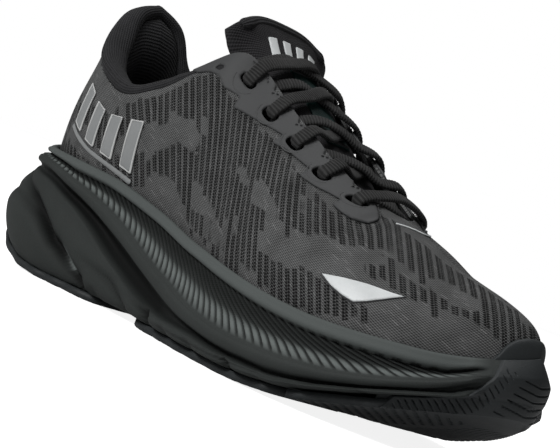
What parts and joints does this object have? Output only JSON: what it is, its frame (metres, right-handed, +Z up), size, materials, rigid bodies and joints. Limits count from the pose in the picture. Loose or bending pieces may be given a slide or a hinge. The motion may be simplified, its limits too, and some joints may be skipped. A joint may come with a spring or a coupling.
{
  "type": "running shoe",
  "caption": "Low-cut cushioned running shoe for the right foot: thick sculpted foam sole, knit upper, laced tongue and padded flared collar.",
  "frame": {"origin": "bottom centre of the shoe's box, on the ground under the sole", "axes": "+X towards the toe, -Y the outer (lateral) side of a right shoe, +Z up"},
  "size_m": [0.29, 0.1106, 0.133],
  "materials": {
    "foam": "matte compression-moulded foam",
    "rubber": "matte outsole rubber with fine tread",
    "knit": "jacquard knit, dark grey with black figure",
    "overlay": "matte welded film",
    "lining": "black brushed lining",
    "board": "stitched lasting board",
    "insole_foam": "moulded open-cell foam",
    "membrane": "laminated waterproof membrane",
    "stiffener": "pressed fibre stiffener",
    "pad_foam": "soft padding foam",
    "reflective": "retroreflective print",
    "label": "woven satin label, blank",
    "lace": "flat ribbed polyester braid",
    "aglet": "clear-coated lace tip",
    "tongue": "black woven tongue face"
  },
  "bodies": {
    "shoe": {"midsole": "foam", "outsole_heel_lateral": "rubber", "outsole_heel_medial": "rubber", "outsole_forefoot_lateral": "rubber", "outsole_forefoot_medial": "rubber", "outsole_toe": "rubber", "strobel_board": "board", "knit_upper": "knit", "waterproof_bootie": "membrane", "heel_counter": "stiffener", "toe_puff": "stiffener", "collar_foam": "pad_foam", "collar_lining": "lining", "collar_binding": "lining", "heel_tab": "overlay", "eyestay_lateral": "overlay", "eyestay_medial": "overlay", "toe_bumper_film": "overlay", "forefoot_reflector": "reflective", "heel_mark_lateral": "reflective", "heel_mark_medial": "reflective", "lace": "lace", "aglet_lateral": "aglet", "aglet_medial": "aglet"},
    "tongue": {"tongue_shell": "tongue", "tongue_foam": "pad_foam", "tongue_lining": "lining", "tongue_label": "label", "tongue_bars": "reflective"},
    "sockliner": {"sockliner": "insole_foam", "sockliner_cloth": "lining"}
  },
  "joints": [
    {"name": "tongue_drop", "type": "hinge", "parent": "shoe", "child": "tongue", "pos_m": [0.069, 0.00289, 0.062], "axis": [0, -1, 0], "range_deg": [0, 4]},
    {"name": "sockliner_lift", "type": "hinge", "parent": "shoe", "child": "sockliner", "pos_m": [0.128, 0.00669, 0.0365], "axis": [0, 1, 0], "range_deg": [0, 4]}
  ]
}
